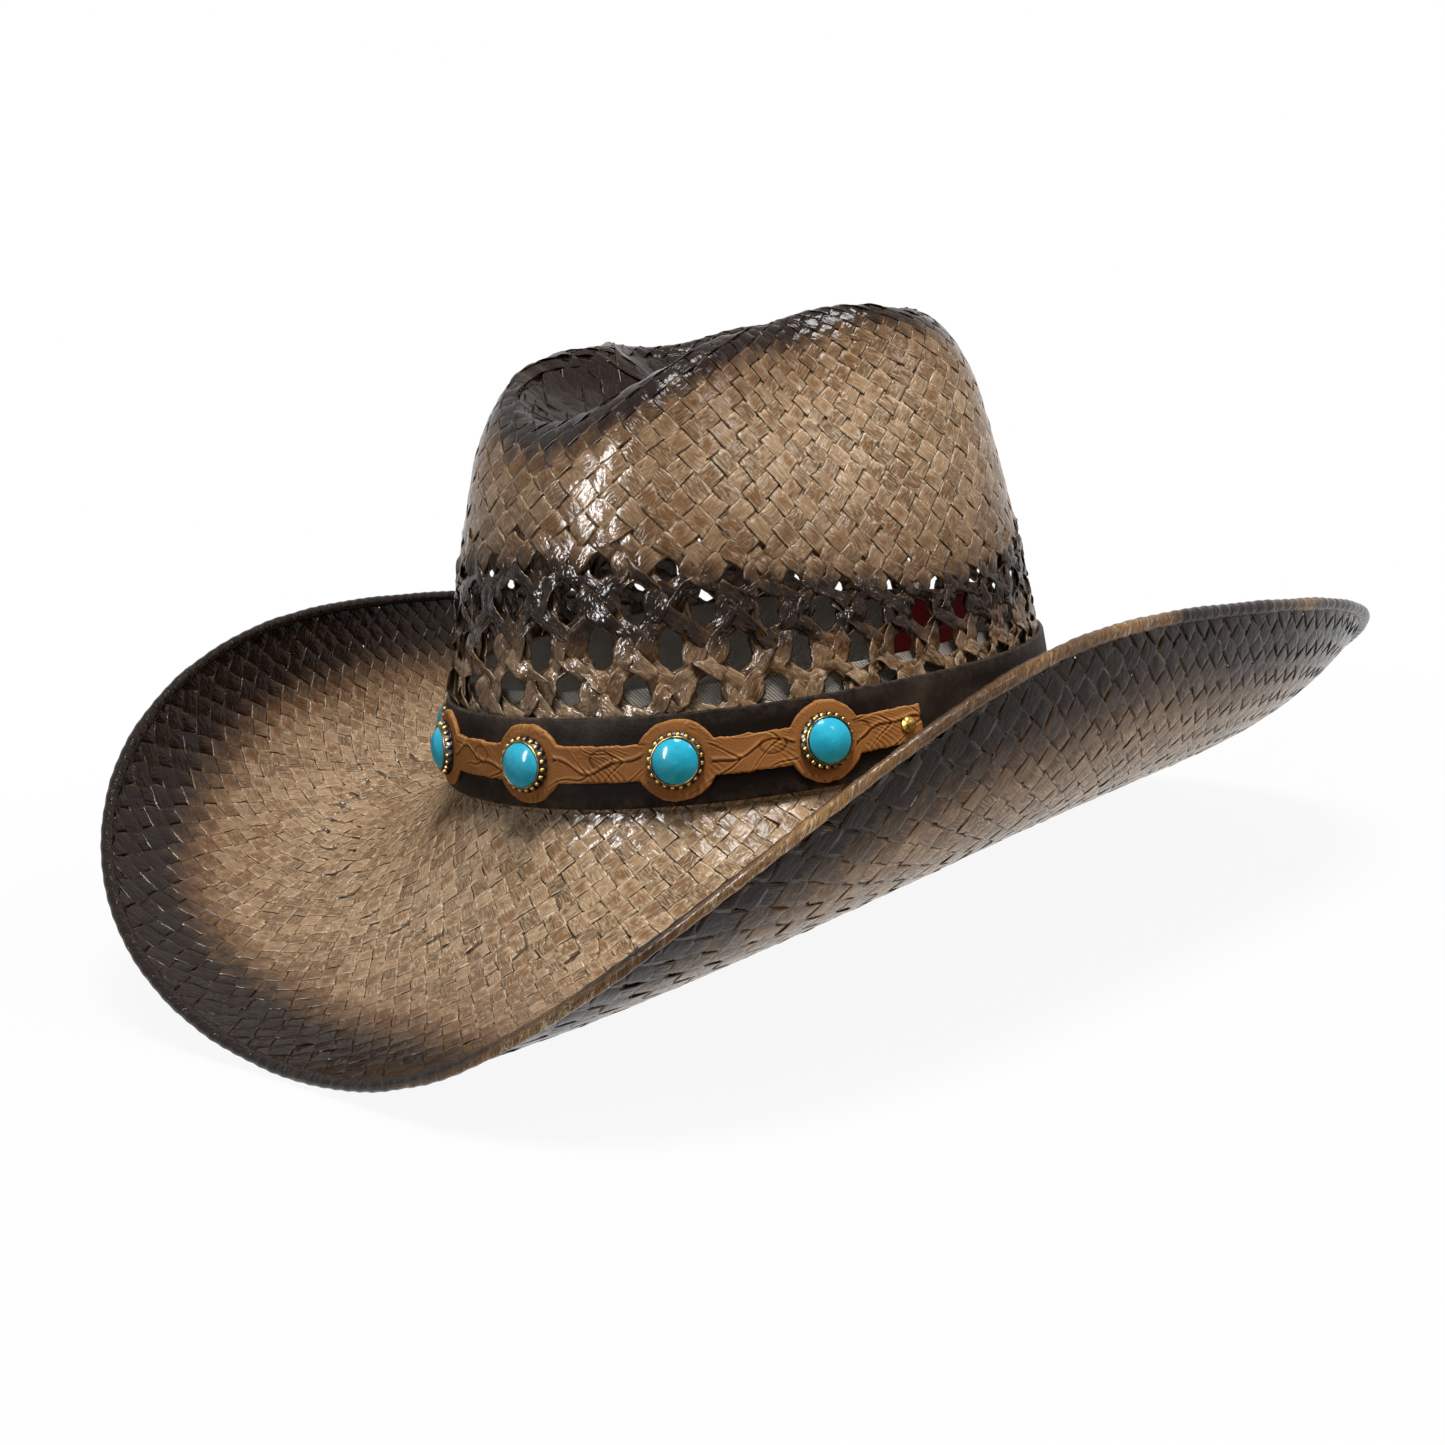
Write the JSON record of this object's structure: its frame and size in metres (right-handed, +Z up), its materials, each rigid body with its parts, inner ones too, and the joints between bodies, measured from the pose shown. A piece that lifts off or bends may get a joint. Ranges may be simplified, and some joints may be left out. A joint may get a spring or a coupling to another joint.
{
  "type": "western straw hat",
  "caption": "Western straw hat with a pinched teardrop crown, open-weave vents, a rolled brim and a dark band with turquoise settings.",
  "frame": {"origin": "middle of the head opening, at the level of the brim break", "axes": "+Z up, -Y to the front of the hat, +X to the wearer's left"},
  "size_m": [0.3338, 0.3719, 0.1838],
  "materials": {
    "straw": "woven paper straw, lacquered, shaded dark on the crown top and brim edge",
    "straw_edge": "rolled straw hem, satin",
    "wire": "plain drawn wire",
    "sweatband": "matt cotton twill",
    "thread": "spun thread",
    "red_cloth": "plain woven cloth",
    "dark_leather": "matt dark brown leather",
    "tan_leather": "tooled tan leather",
    "antique_brass": "antique brass with dark recesses",
    "turquoise": "polished turquoise dome"
  },
  "bodies": {
    "hat": {"crown": "straw", "brim": "straw", "brim_edge": "straw_edge", "brim_wire": "wire", "sweatband": "sweatband", "sweatband_stitches": "thread", "inner_tab": "red_cloth"},
    "band": {"hatband": "dark_leather", "lap_stitches": "thread", "band_strap": "tan_leather", "setting_rivets": "antique_brass", "stud_left": "antique_brass", "stud_right": "antique_brass", "bezel_1": "antique_brass", "bezel_2": "antique_brass", "bezel_3": "antique_brass", "bezel_4": "antique_brass", "bezel_5": "antique_brass", "stone_1": "turquoise", "stone_2": "turquoise", "stone_3": "turquoise", "stone_4": "turquoise", "stone_5": "turquoise"}
  },
  "joints": [
    {"name": "band_lift", "type": "slide", "parent": "hat", "child": "band", "axis": [0, 0, 1], "range_m": [0, 0.14]}
  ]
}
